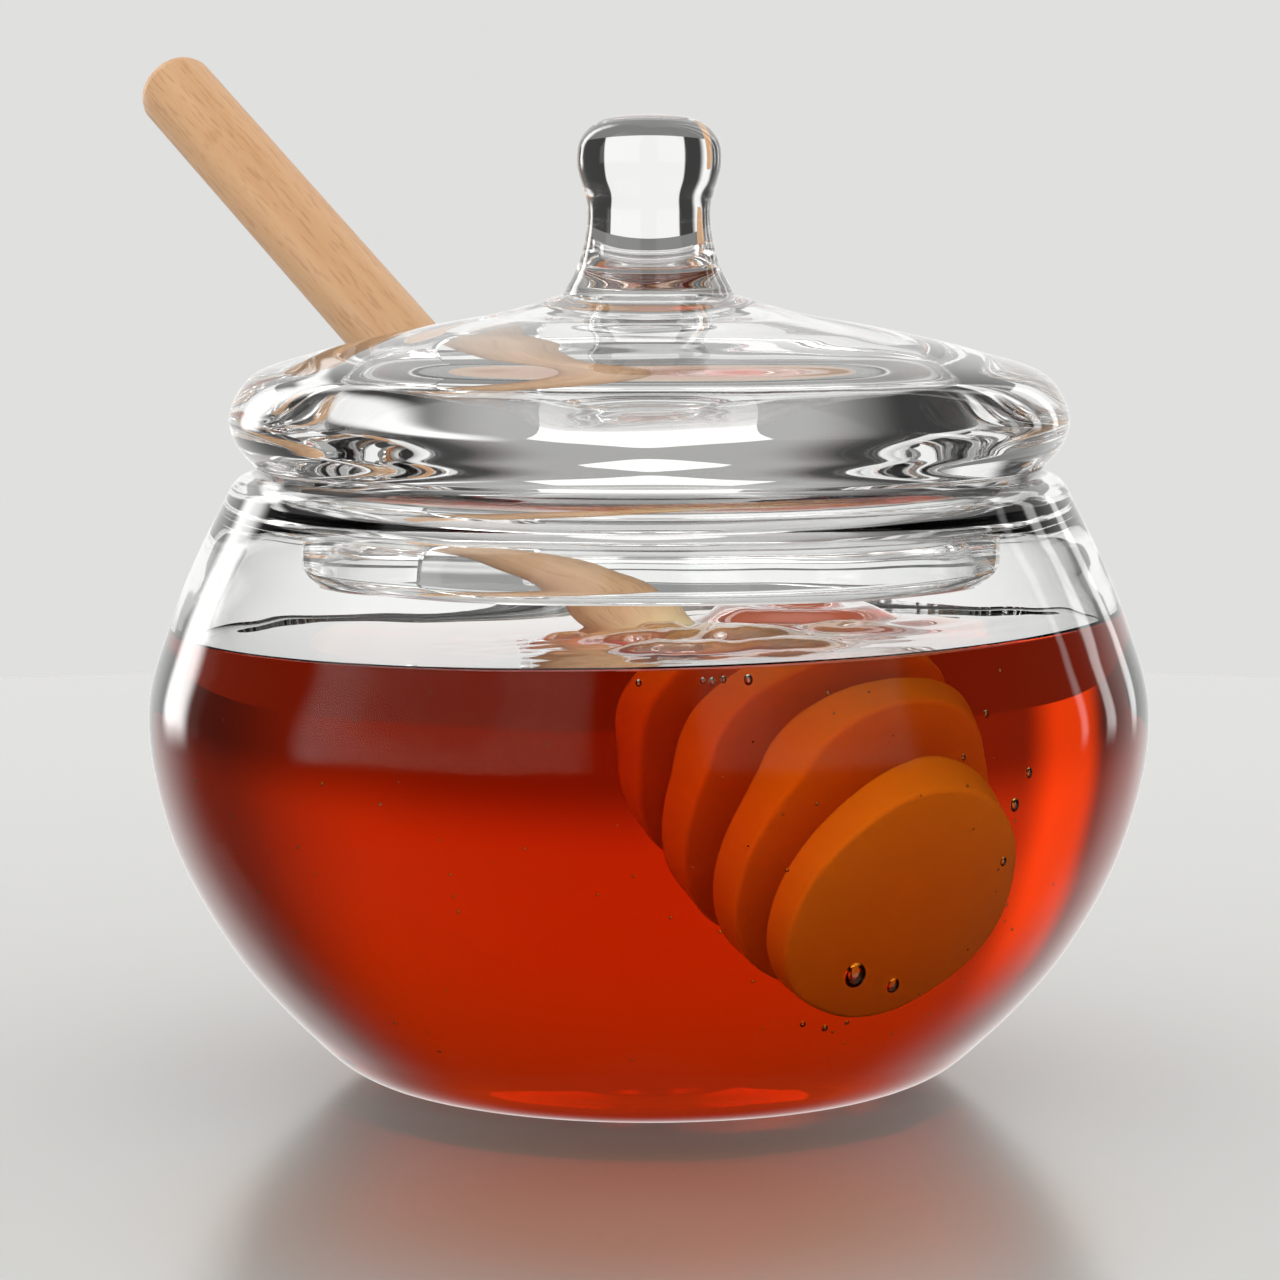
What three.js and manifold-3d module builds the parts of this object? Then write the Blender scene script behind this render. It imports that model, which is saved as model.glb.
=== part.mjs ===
// Round glass honey jar with a knobbed lid, honey and a wooden dipper.
// Millimetres, +Z up. The origin is the middle of the jar's underside, on the
// surface that it stands on. The front of the jar faces -Y.

import * as THREE from "three";
import * as BufferGeometryUtils from "three/addons/utils/BufferGeometryUtils.js";
import Module from "manifold-3d";

const wasm = await Module();
wasm.setup();

// Driving dimensions
const footRadius = 21;
const bodyRadius = 55.5;
const bodyRadiusHeight = 41.6;
const wall = 3;
const baseThickness = 4.2;
const lipHeight = 67.6;
const lipRadius = 43.3;
const mouthRadius = 41.8;
const mouthHeight = 65;
const shoulderRadius = 47.3;
const shoulderHeight = 57.4;
const lidRimRadius = 46.4;
const lidRimHeight = 74;
const collarOuterRadius = 38.7;
const collarInnerRadius = 36.3;
const collarBottom = 56;
const knobWaistRadius = 6.8;
const knobRadius = 8;
const totalHeight = 107.2;
const notchWidth = 16.5;
const notchCentreRadius = 37;
const touchGap = 0.3;
const honeyLevel = 50.2;
const honeyTilt = 0.024;
const honeyMoundHeight = 3.6;
const honeyMoundSpread = 12;
const honeyMoundCentre = new THREE.Vector2(17, 8);
const honeyFoldHeight = 0.5;
const honeyFoldLength = 7;
const honeyFoldReach = 16;
const dipperRadius = 11.7;
const dipperHandleRadius = 4.9;
const dipperRidgePitch = 7.6;
const dipperRidgeCount = 4;
const dipperRidgeWidth = 3.7;
const dipperRidgeRounding = 0.5;
const dipperBarrelSwell = 0.6;
const dipperGrooveRadius = 5.6;
const dipperHeadEnd = new THREE.Vector3(21.6, -18, 27.4);
const dipperTailEnd = new THREE.Vector3(-61.5, 73.2, 113.2);

// Fineness of the round shapes
const glassSegments = 40;
const honeySegments = 36;
const honeySurfaceSteps = 24;
const dipperSegments = 20;

// Colours and finishes
const glassMaterial = new THREE.MeshStandardMaterial({
  color: 0xe6eceb, roughness: 0.03, metalness: 0, transparent: true, opacity: 0.35,
});
const honeyMaterial = new THREE.MeshStandardMaterial({
  color: 0xb8410a, roughness: 0.08, metalness: 0, transparent: true, opacity: 0.85,
});
const woodMaterial = new THREE.MeshStandardMaterial({
  color: 0xdcae7c, roughness: 0.6, metalness: 0,
});

// A smooth outline through points given as [radius, height]
function smooth(points, steps) {
  const knots = points.map(([radius, height]) => new THREE.Vector3(radius, height, 0));
  const curve = new THREE.CatmullRomCurve3(knots, false, "centripetal");
  return curve.getPoints(steps).map((point) => new THREE.Vector2(Math.max(point.x, 0), point.y));
}

// A quarter or other arc of a circle in the outline, in degrees from +radius
function arc(radius, height, size, fromDegrees, toDegrees, steps) {
  const points = [];
  for (let i = 0; i <= steps; i += 1) {
    const angle = THREE.MathUtils.degToRad(fromDegrees + ((toDegrees - fromDegrees) * i) / steps);
    points.push(new THREE.Vector2(radius + size * Math.cos(angle), height + size * Math.sin(angle)));
  }
  return points;
}

// Turns an outline, which runs anticlockwise from the axis, about the Z axis
function turned(outline, segments) {
  const geometry = new THREE.LatheGeometry(outline, segments);
  geometry.rotateX(Math.PI / 2);
  return geometry;
}

// Closed mesh to solid and back, for cuts and joins
function toSolid(geometry) {
  const bare = geometry.clone();
  bare.deleteAttribute("normal");
  bare.deleteAttribute("uv");
  const merged = BufferGeometryUtils.mergeVertices(bare, 1e-4);
  return new wasm.Manifold(new wasm.Mesh({
    numProp: 3,
    vertProperties: new Float32Array(merged.attributes.position.array),
    triVerts: new Uint32Array(merged.index.array),
  }));
}

function toGeometry(solid) {
  const mesh = solid.getMesh();
  const geometry = new THREE.BufferGeometry();
  geometry.setAttribute("position", new THREE.BufferAttribute(mesh.vertProperties, mesh.numProp));
  geometry.setIndex(new THREE.BufferAttribute(mesh.triVerts, 1));
  return geometry;
}

// Jar: outside from the flat foot to the lip, then the flared mouth and the inside wall
function jarOutside() {
  return smooth([
    [footRadius, 0],
    [32.6, 1.5],
    [38.6, 6.1],
    [46.9, 15.7],
    [53.4, 28.7],
    [bodyRadius, bodyRadiusHeight],
    [53.1, 51],
    [49.9, 59],
    [46.3, 66.2],
  ], 20);
}

function jarMouth() {
  return smooth([
    [lipRadius, lipHeight],
    [mouthRadius + 0.3, mouthHeight + 1.2],
    [mouthRadius, mouthHeight],
    [mouthRadius + 0.8, mouthHeight - 1.3],
    [44.6, 62.2],
    [46.1, 60],
    [shoulderRadius, shoulderHeight],
  ], 9);
}

function insideWall() {
  return smooth([
    [50.2, 50.1],
    [bodyRadius - wall, bodyRadiusHeight],
    [50.5, 29.7],
    [44.4, 17.4],
    [36.6, 9],
    [31, 5.4],
    [20, baseThickness],
  ], 14);
}

function makeJar() {
  const outline = [
    new THREE.Vector2(0, 0),
    ...jarOutside(),
    ...jarMouth(),
    ...insideWall(),
    new THREE.Vector2(0, baseThickness),
  ];
  return turned(outline, glassSegments);
}

// Lid: collar, seat, thick rounded rim, low dome and knob, hollow below the dome
function makeLid() {
  const hollow = smooth([
    [0, 85.4],
    [5, 85.1],
    [8.3, 83.8],
    [9.3, 81.7],
    [11.5, 80.7],
    [16, 79.7],
    [24, 77.6],
    [31, 74.8],
    [35.2, 70.8],
    [collarInnerRadius, 66],
  ], 18);
  const collarEnd = arc(
    (collarInnerRadius + collarOuterRadius) / 2,
    collarBottom + (collarOuterRadius - collarInnerRadius) / 2,
    (collarOuterRadius - collarInnerRadius) / 2,
    180,
    360,
    4,
  );
  const seat = smooth([
    [collarOuterRadius, 62.6],
    [39.4, 65],
    [41.4, 66.8],
    [42.9, 68.1],
  ], 5);
  const rim = smooth([
    [43.6, 68.4],
    [45.7, 71],
    [lidRimRadius, lidRimHeight],
    [44, 78.3],
    [36.7, 81],
    [26.3, 83.5],
    [15.6, 85.5],
    [9.6, 87.3],
  ], 13);
  const knob = smooth([
    [9.2, 87.9],
    [7.7, 91],
    [knobWaistRadius, 96.6],
    [knobRadius, 101.7],
    [7.6, 104.4],
    [5.5, 106.4],
    [0, totalHeight],
  ], 11);
  const whole = turned([...hollow, ...collarEnd, ...seat, ...rim, ...knob], glassSegments);
  return toGeometry(toSolid(whole).subtract(toSolid(makeNotch())));
}

// Notch: a slot with a round end, cut through the lid's rim and collar where the dipper leaves
function makeNotch() {
  const half = notchWidth / 2;
  const outline = new THREE.Shape();
  outline.absarc(notchCentreRadius, 0, half, Math.PI / 2, (3 * Math.PI) / 2, false);
  outline.lineTo(lidRimRadius + 5, -half);
  outline.lineTo(lidRimRadius + 5, half);
  outline.closePath();
  const slot = new THREE.ExtrudeGeometry(outline, {
    depth: 40,
    bevelEnabled: false,
    curveSegments: 10,
  });
  slot.translate(0, 0, collarBottom - 5);
  slot.rotateZ(notchAngle());
  return slot;
}

// Where the dipper's centre line crosses the notch's radius, as an angle about Z
function notchAngle() {
  const line = new THREE.Line3(dipperHeadEnd, dipperTailEnd);
  const point = new THREE.Vector3();
  for (let share = 0; share < 1; share += 0.002) {
    line.at(share, point);
    if (point.z > mouthHeight && Math.hypot(point.x, point.y) > notchCentreRadius) {
      break;
    }
  }
  return Math.atan2(point.y, point.x);
}

// Dipper: outline along its axis, from the flat end of the head to the rounded tail
function dipperOutline(extra) {
  const length = dipperHeadEnd.distanceTo(dipperTailEnd);
  const round = dipperRidgeRounding;
  const groove = dipperGrooveRadius + extra;
  const points = [new THREE.Vector2(0, -extra)];
  for (let i = 0; i < dipperRidgeCount; i += 1) {
    const start = i * dipperRidgePitch - extra;
    const end = i * dipperRidgePitch + dipperRidgeWidth + extra;
    const swell = dipperBarrelSwell * Math.sin((Math.PI * i) / (dipperRidgeCount - 1));
    const radius = dipperRadius + swell + extra;
    points.push(new THREE.Vector2(radius - round, start));
    points.push(new THREE.Vector2(radius, start + round));
    points.push(new THREE.Vector2(radius, end - round));
    points.push(new THREE.Vector2(radius - round, end));
    if (i < dipperRidgeCount - 1) {
      points.push(new THREE.Vector2(groove, end + round));
      points.push(new THREE.Vector2(groove, start + dipperRidgePitch - round));
    }
  }
  const neck = (dipperRidgeCount - 1) * dipperRidgePitch + dipperRidgeWidth + extra;
  points.push(new THREE.Vector2(7 + extra, neck + 1.8));
  points.push(new THREE.Vector2(dipperHandleRadius + extra, neck + 5));
  points.push(new THREE.Vector2(dipperHandleRadius + extra, length - 2));
  points.push(new THREE.Vector2(dipperHandleRadius - 0.6 + extra, length - 0.7 + extra));
  points.push(new THREE.Vector2(dipperHandleRadius - 2 + extra, length + extra));
  points.push(new THREE.Vector2(0, length + extra));
  return points;
}

// Lays a piece turned about Z along the dipper's centre line
function alongDipper(geometry) {
  const direction = dipperTailEnd.clone().sub(dipperHeadEnd).normalize();
  const turn = new THREE.Quaternion().setFromUnitVectors(new THREE.Vector3(0, 0, 1), direction);
  geometry.applyQuaternion(turn);
  geometry.translate(dipperHeadEnd.x, dipperHeadEnd.y, dipperHeadEnd.z);
  return geometry;
}

function makeDipper() {
  return alongDipper(turned(dipperOutline(0), dipperSegments));
}

// Height of the honey: a slight slope, a mound beside the dipper and low folds on it
function honeyHeight(x, y) {
  const fromMound = honeyMoundCentre.distanceTo(new THREE.Vector2(x, y));
  const mound = honeyMoundHeight * Math.exp(-((fromMound / honeyMoundSpread) ** 2));
  const wave = Math.sin((2 * Math.PI * fromMound) / honeyFoldLength);
  const folds = honeyFoldHeight * wave * Math.exp(-((fromMound / honeyFoldReach) ** 2));
  return honeyLevel + honeyTilt * x + mound + folds;
}

// Honey: the inside of the jar up to the level, clear of the glass and cut round the dipper
function makeHoney() {
  const clearOf = (point) => new THREE.Vector2(point.x - touchGap, point.y + touchGap);
  const outline = [
    new THREE.Vector2(0, baseThickness + touchGap),
    ...insideWall().reverse().map(clearOf),
    new THREE.Vector2(shoulderRadius - touchGap, shoulderHeight),
    new THREE.Vector2(0, shoulderHeight),
  ];
  const inside = toSolid(turned(outline, honeySegments));

  const size = 2.1 * bodyRadius;
  const steps = honeySurfaceSteps;
  const air = new THREE.BoxGeometry(size, size, 1, steps, steps, 1);
  const position = air.attributes.position;
  for (let i = 0; i < position.count; i += 1) {
    const underside = position.getZ(i) < 0;
    const height = honeyHeight(position.getX(i), position.getY(i));
    position.setZ(i, underside ? height : totalHeight);
  }
  const filled = inside.subtract(toSolid(air));
  const dipper = toSolid(alongDipper(turned(dipperOutline(touchGap), dipperSegments)));
  return toGeometry(filled.subtract(dipper));
}

function named(name, geometry, material) {
  const mesh = new THREE.Mesh(geometry, material);
  mesh.name = name;
  return mesh;
}

const honeyJar = new THREE.Group();
honeyJar.add(named("jar", makeJar(), glassMaterial));
honeyJar.add(named("lid", makeLid(), glassMaterial));
honeyJar.add(named("honey", makeHoney(), honeyMaterial));
honeyJar.add(named("dipper", makeDipper(), woodMaterial));

export default honeyJar;
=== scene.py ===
# %% [markdown]
# # A glass honey jar with its lid and dipper
# The object is a round clear glass jar, filled with honey to about three quarters. Its glass lid
# has a solid knob and a thick rim. A turned wooden dipper stands in the honey and leaves through
# a notch in the lid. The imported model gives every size: this scene makes the same pieces again,
# finely enough for glass, and gives them their finish.

import math
import random

import bpy
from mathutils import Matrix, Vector, noise


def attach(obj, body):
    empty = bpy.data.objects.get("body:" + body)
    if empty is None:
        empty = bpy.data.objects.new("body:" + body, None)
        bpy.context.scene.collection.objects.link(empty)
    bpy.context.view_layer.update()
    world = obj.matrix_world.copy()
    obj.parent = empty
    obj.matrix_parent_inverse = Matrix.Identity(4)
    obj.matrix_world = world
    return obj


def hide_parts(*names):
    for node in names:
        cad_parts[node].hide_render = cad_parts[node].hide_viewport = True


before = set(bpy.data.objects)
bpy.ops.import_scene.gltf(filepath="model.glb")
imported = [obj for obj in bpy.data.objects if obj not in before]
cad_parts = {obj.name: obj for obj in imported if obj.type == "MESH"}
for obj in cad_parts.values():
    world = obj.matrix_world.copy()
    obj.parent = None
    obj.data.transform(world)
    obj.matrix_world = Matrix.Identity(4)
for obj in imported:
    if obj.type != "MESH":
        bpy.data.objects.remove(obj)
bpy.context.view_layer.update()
print("nodes:", sorted(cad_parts))

MM = 0.001

# %% [markdown]
# ## Outlines
# Everything here but the surface of the honey is round, so it is made as a potter or a glass
# lathe makes it: one outline turned about an axis. A Blender curve could hold the outline, but a
# short function keeps full control of the spacing, which matters for glass, where every unevenness
# of the mesh shows as a bent reflection. The curve passes through all of its points.

# %% Smooth outline through points


def smooth(points, steps):
    """Points of a smooth curve through (radius, height) points, in mm, without overshoot."""
    knots = [Vector(point) for point in points]
    before = 2 * knots[0] - knots[1]
    after = 2 * knots[-1] - knots[-2]
    row = [before] + knots + [after]
    result = []
    spans = len(knots) - 1
    for k in range(steps + 1):
        place = spans * k / steps
        i = min(int(place), spans - 1)
        t = place - i
        p0, p1, p2, p3 = row[i : i + 4]
        d0 = max(math.sqrt((p1 - p0).length), 1e-6)
        d1 = max(math.sqrt((p2 - p1).length), 1e-6)
        d2 = max(math.sqrt((p3 - p2).length), 1e-6)
        m1 = ((p1 - p0) / d0 - (p2 - p0) / (d0 + d1) + (p2 - p1) / d1) * d1
        m2 = ((p2 - p1) / d1 - (p3 - p1) / (d1 + d2) + (p3 - p2) / d2) * d1
        a = 2 * p1 - 2 * p2 + m1 + m2
        b = -3 * p1 + 3 * p2 - 2 * m1 - m2
        result.append(a * t**3 + b * t**2 + m1 * t + p1)
    return [(max(p.x, 0.0), p.y) for p in result]


def arc(radius, height, size, start, end, steps):
    """Part of a circle in the outline, angles in degrees from the outward direction."""
    angles = [math.radians(start + (end - start) * k / steps) for k in range(steps + 1)]
    return [(radius + size * math.cos(a), height + size * math.sin(a)) for a in angles]


def radius_at(outline, height):
    """Radius of an outline where it crosses a height, in mm."""
    for (r0, z0), (r1, z1) in zip(outline, outline[1:]):
        if min(z0, z1) <= height <= max(z0, z1) and z0 != z1:
            return r0 + (r1 - r0) * (height - z0) / (z1 - z0)
    return outline[-1][0]


# %% Turn an outline into a mesh
# Waves of hand-made glass: height in mm, and waves in each mm
WIDE_WAVES = (0.22, 0.045)
FINE_WAVES = (0.05, 0.13)
WAVE_START = Vector((7.0, 0.0, 3.0))
CALM_RADIUS = 20.0


def add_object(name, vertices, faces):
    """A smooth-shaded mesh object from vertices in mm."""
    mesh = bpy.data.meshes.new(name)
    mesh.from_pydata([tuple(MM * c for c in v) for v in vertices], [], faces)
    mesh.validate()
    mesh.update()
    mesh.shade_smooth()
    piece = bpy.data.objects.new(name, mesh)
    bpy.context.scene.collection.objects.link(piece)
    return piece


def skin(rings, segments):
    """Faces between neighbouring rings of vertices, where a ring of one vertex is a pole."""
    faces = []
    for low, high in zip(rings, rings[1:]):
        for k in range(segments):
            n = (k + 1) % segments
            if len(low) == 1 and len(high) > 1:
                faces.append((low[0], high[n], high[k]))
            elif len(high) == 1 and len(low) > 1:
                faces.append((low[k], low[n], high[0]))
            elif len(low) > 1:
                faces.append((low[k], low[n], high[n], high[k]))
    return faces


def turned(name, outline, segments, wobble=None):
    """Turns an outline, which starts and ends on the axis, about Z."""
    vertices, rings = [], []
    for radius, height in outline:
        if radius < 1e-6:
            rings.append([len(vertices)])
            vertices.append((0.0, 0.0, height))
            continue
        rings.append(list(range(len(vertices), len(vertices) + segments)))
        for k in range(segments):
            angle = 2 * math.pi * k / segments
            spot = Vector((radius * math.cos(angle), radius * math.sin(angle), height))
            if wobble:
                spot = wobble(spot)
            vertices.append(tuple(spot))
    return add_object(name, vertices, skin(rings, segments))


def hand_blown(spot):
    """Shifts glass by a fraction of a millimetre, as in a jar shaped by hand."""
    away = Vector((spot.x, spot.y, 0.0))
    if away.length < 1.0:
        return spot
    height, speed = WIDE_WAVES
    shift = height * noise.noise(spot * speed + WAVE_START)
    height, speed = FINE_WAVES
    shift += height * noise.noise(spot * speed)
    return spot + away.normalized() * shift * min(1.0, away.length / CALM_RADIUS)


# %% [markdown]
# ## Jar
# The jar is one piece of clear glass with a flat foot, a belly that is widest above its middle and
# a mouth whose edge is turned in and flared, where the lid sits. Both of its faces are modelled,
# because the bright and dark lines of clear glass come from the two faces together.

# %% Jar
FOOT_RADIUS = 21.0
BODY_RADIUS = 55.5
BODY_HEIGHT = 41.6
WALL = 3.0
BASE = 4.2
MOUTH_RADIUS = 41.8
ROUND_STEPS = 192


def jar_outside():
    return smooth(
        [(FOOT_RADIUS, 0), (32.6, 1.5), (38.6, 6.1), (46.9, 15.7), (53.4, 28.7)]
        + [(BODY_RADIUS, BODY_HEIGHT), (53.1, 51), (49.9, 59), (46.3, 66.2)],
        96,
    )


def jar_mouth():
    return smooth(
        [(46.3, 66.2), (45.2, 67.3), (43.6, 67.6), (42.1, 66.2), (MOUTH_RADIUS, 65)]
        + [(42.6, 63.7), (44.6, 62.2), (46.1, 60), (47.3, 57.4)],
        48,
    )


def jar_inside():
    return smooth(
        [(47.3, 57.4), (48.9, 54.0), (50.3, 50.1), (BODY_RADIUS - WALL, BODY_HEIGHT)]
        + [(50.5, 29.7), (44.4, 17.4), (36.6, 9), (31, 5.4), (20, BASE), (0, BASE)],
        198,
    )


outside, mouth, inside = jar_outside(), jar_mouth(), jar_inside()
# The inside of the glass from the base up to the middle of the mouth
glass_wall = (mouth[len(mouth) // 2 :] + inside[1:])[::-1]
foot = [(0, 0), (7, 0), (14, 0)]
jar = turned("jar_glass", foot + outside + mouth[1:] + inside[1:], ROUND_STEPS, hand_blown)
print("jar:", len(jar.data.polygons), "faces")

# %% [markdown]
# ## Lid
# The lid is pressed and tooled from one gather of glass: a collar that drops into the mouth, a
# thick round rim, a low dome that is hollow below, and a knob drawn up from its middle. The
# notch for the dipper is cut through rim and collar with a Boolean, as a glass cutter would
# grind it.

# %% Dipper's centre line
HEAD_END = Vector((21.6, -18.0, 27.4))
TAIL_END = Vector((-61.5, 73.2, 113.2))
DIPPER_LENGTH = (TAIL_END - HEAD_END).length
DIPPER_AXIS = (TAIL_END - HEAD_END).normalized()
CROSSING_STEPS = 2000
NOTCH_WIDTH = 16.5
NOTCH_CENTRE = 37.0
NOTCH_LEVEL = 62.0


def where_dipper_crosses(radius, above):
    """Point of the centre line where it passes a radius, above a height."""
    for k in range(CROSSING_STEPS):
        spot = HEAD_END.lerp(TAIL_END, k / CROSSING_STEPS)
        if spot.z > above and math.hypot(spot.x, spot.y) > radius:
            return spot
    return TAIL_END


crossing = where_dipper_crosses(NOTCH_CENTRE, NOTCH_LEVEL)
notch_angle = math.atan2(crossing.y, crossing.x)
print("notch at", round(math.degrees(notch_angle)), "degrees")

# %% Lid
COLLAR_OUT = 38.7
COLLAR_IN = 36.3
COLLAR_BOTTOM = 56.0
RIM_RADIUS = 46.4
RIM_HEIGHT = 74.0
TOTAL_HEIGHT = 107.2
LID_STEPS = 360
SHARP_LID_ANGLE = 35
BOW_STEPS = 24
# How far the cutter reaches past the rim, below the collar and above the rim
CUT_BEYOND = 6
CUT_BELOW = 4
CUT_ABOVE = 16


def lid_outline():
    hollow = smooth(
        [(0, 85.4), (5, 85.1), (8.3, 83.8), (9.3, 81.7), (11.5, 80.7), (16, 79.7), (24, 77.6)]
        + [(31, 74.8), (35.2, 70.8), (COLLAR_IN, 66)],
        90,
    )
    middle = (COLLAR_IN + COLLAR_OUT) / 2
    half = (COLLAR_OUT - COLLAR_IN) / 2
    collar_end = arc(middle, COLLAR_BOTTOM + half, half, 180, 360, 12)
    seat = smooth([(COLLAR_OUT, 62.6), (39.4, 65), (41.4, 66.8), (42.9, 68.1)], 18)
    rim = smooth(
        [(43.6, 68.4), (45.7, 71), (RIM_RADIUS, RIM_HEIGHT), (44, 78.3), (36.7, 81)]
        + [(26.3, 83.5), (15.6, 85.5), (9.6, 87.3)],
        96,
    )
    knob = smooth(
        [(9.2, 87.9), (7.7, 91), (6.8, 96.6), (8, 101.7), (7.6, 104.4), (5.5, 106.4)]
        + [(0, TOTAL_HEIGHT)],
        72,
    )
    return hollow + collar_end + seat + rim + knob


def apply_modifiers(piece):
    """Replaces the mesh by its evaluated one."""
    depsgraph = bpy.context.evaluated_depsgraph_get()
    mesh = bpy.data.meshes.new_from_object(piece.evaluated_get(depsgraph))
    piece.modifiers.clear()
    piece.data = mesh
    mesh.shade_smooth()
    mesh.set_sharp_from_angle(angle=math.radians(SHARP_LID_ANGLE))


def cut_notch(piece):
    """Cuts the slot with a round end where the dipper leaves."""
    half = NOTCH_WIDTH / 2
    bow = [math.radians(90 + 180 * k / BOW_STEPS) for k in range(BOW_STEPS + 1)]
    plan = [(NOTCH_CENTRE + half * math.cos(a), half * math.sin(a)) for a in bow]
    plan += [(RIM_RADIUS + CUT_BEYOND, -half), (RIM_RADIUS + CUT_BEYOND, half)]
    turn = Vector((math.cos(notch_angle), math.sin(notch_angle)))
    flat = [(x * turn.x - y * turn.y, x * turn.y + y * turn.x) for x, y in plan]
    count = len(flat)
    low = [(x, y, COLLAR_BOTTOM - CUT_BELOW) for x, y in flat]
    high = [(x, y, RIM_HEIGHT + CUT_ABOVE) for x, y in flat]
    faces = [tuple(reversed(range(count))), tuple(range(count, 2 * count))]
    faces += [(k, (k + 1) % count, count + (k + 1) % count, count + k) for k in range(count)]
    tool = add_object("notch_tool", low + high, faces)
    cut = piece.modifiers.new("notch", "BOOLEAN")
    cut.operation = "DIFFERENCE"
    cut.solver = "EXACT"
    cut.object = tool
    apply_modifiers(piece)
    bpy.data.objects.remove(tool, do_unlink=True)


lid = turned("lid_glass", lid_outline(), LID_STEPS, hand_blown)
cut_notch(lid)
print("lid:", len(lid.data.polygons), "faces")

# %% [markdown]
# ## Dipper
# A dipper is turned on a lathe from one stick of beech: a barrel-shaped head with grooves that
# hold the honey, and a round handle with a softened end. It is made along its own Z axis and
# then laid on its centre line, so that its grain runs along it.

# %% Dipper
HEAD_RADIUS = 11.7
HEAD_SWELL = 0.6
HANDLE_RADIUS = 4.9
GROOVE_RADIUS = 5.6
RIDGE_PITCH = 7.6
RIDGE_WIDTH = 3.7
RIDGE_COUNT = 4
EDGE = 0.5
DIPPER_STEPS = 96
SHARP_WOOD_ANGLE = 50


def rounded_ridge(radius, start, end):
    """Outline of one ridge, from its lower groove to its upper one."""
    low = arc(radius - EDGE, start + EDGE, EDGE, -90, 0, 5)
    high = arc(radius - EDGE, end - EDGE, EDGE, 0, 90, 5)
    return low + high


def dipper_outline():
    points = [(0, 0), (HEAD_RADIUS / 2, 0)]
    for i in range(RIDGE_COUNT):
        swell = HEAD_SWELL * math.sin(math.pi * i / (RIDGE_COUNT - 1))
        start = i * RIDGE_PITCH
        points += rounded_ridge(HEAD_RADIUS + swell, start, start + RIDGE_WIDTH)
        if i < RIDGE_COUNT - 1:
            floor = GROOVE_RADIUS + EDGE
            points += arc(floor, start + RIDGE_WIDTH + EDGE, EDGE, 270, 180, 4)
            points += arc(floor, start + RIDGE_PITCH - EDGE, EDGE, 180, 90, 4)
    neck = (RIDGE_COUNT - 1) * RIDGE_PITCH + RIDGE_WIDTH
    points += smooth([(9.0, neck), (7, neck + 1.8), (HANDLE_RADIUS, neck + 5)], 10)
    shaft = int(DIPPER_LENGTH - neck - 8)
    points += [(HANDLE_RADIUS, neck + 6 + k) for k in range(0, shaft, 3)]
    points += smooth(
        [(HANDLE_RADIUS, DIPPER_LENGTH - 2), (4.3, DIPPER_LENGTH - 0.7), (2.9, DIPPER_LENGTH - 0.1)]
        + [(0, DIPPER_LENGTH)],
        14,
    )
    return points


dipper = turned("dipper_wood", dipper_outline(), DIPPER_STEPS)
dipper.data.set_sharp_from_angle(angle=math.radians(SHARP_WOOD_ANGLE))
dipper.rotation_mode = "QUATERNION"
dipper.rotation_quaternion = Vector((0, 0, 1)).rotation_difference(DIPPER_AXIS)
dipper.location = HEAD_END * MM
print("dipper:", round(DIPPER_LENGTH), "mm long")

# %% [markdown]
# ## Honey
# Honey is a thick liquid, so its surface still holds the slope, mound and folds that the dipper
# left. Its side reaches a fifth of a millimetre into the glass, so that no air gap shows and the
# light bends once only, and the wetted edge creeps up the wall a little.

# %% Honey
HONEY_LEVEL = 50.2
HONEY_TILT = 0.024
MOUND_HEIGHT = 3.6
MOUND_SPREAD = 12.0
MOUND_CENTRE = Vector((17.0, 8.0))
FOLD_HEIGHT = 0.5
FOLD_LENGTH = 7.0
FOLD_REACH = 16.0
HONEY_MIDDLE = 42.0
HONEY_REACH = 50.0
EDGE_SAMPLE = 49.5
INTO_GLASS = 0.2
CREEP = 0.9
CREEP_WIDTH = 1.1
CREEP_RINGS = 12
BELOW_EDGE = 4.0
SURFACE_RINGS = 110
# Each puddle: middle x and y, half width, half depth and height, in mm
PUDDLES = (
    (-2.0, -15.0, 5.0, 5.0, 1.5),
    (9.0, -13.0, 7.0, 6.0, 1.9),
    (3.5, -27.0, 7.0, 3.5, 1.2),
    (15.0, -25.0, 5.0, 4.0, 1.1),
    (1.0, -3.0, 3.0, 3.0, 1.5),
    (22.0, -9.0, 6.0, 4.0, 1.0),
    (-9.0, -9.0, 2.4, 3.0, 0.9),
)
SWIRL_CENTRE = Vector((1.0, -16.0))
SWIRL_REACH = 15.0
SWIRL_HEIGHT = 0.5
SWIRL_NOISE = (0.42, 0.26, 1.7)


def puddle_share(x, y, middle_x, middle_y, half_x, half_y):
    """1 in the middle of a puddle, with a steep edge."""
    edge = ((x - middle_x) / half_x) ** 2 + ((y - middle_y) / half_y) ** 2
    return math.exp(-(edge**2))


def honey_height(x, y):
    away = (Vector((x, y)) - MOUND_CENTRE).length
    mound = MOUND_HEIGHT * math.exp(-((away / MOUND_SPREAD) ** 2))
    wave = math.sin(2 * math.pi * away / FOLD_LENGTH)
    folds = FOLD_HEIGHT * wave * math.exp(-((away / FOLD_REACH) ** 2))
    for *puddle, height in PUDDLES:
        folds += height * puddle_share(x, y, *puddle)
    from_swirl = (Vector((x, y)) - SWIRL_CENTRE).length
    speed_x, speed_y, layer = SWIRL_NOISE
    swirl = SWIRL_HEIGHT * noise.noise(Vector((x * speed_x, y * speed_y, layer)))
    folds += swirl * math.exp(-((from_swirl / SWIRL_REACH) ** 2))
    return HONEY_LEVEL + HONEY_TILT * x + mound + folds


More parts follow.
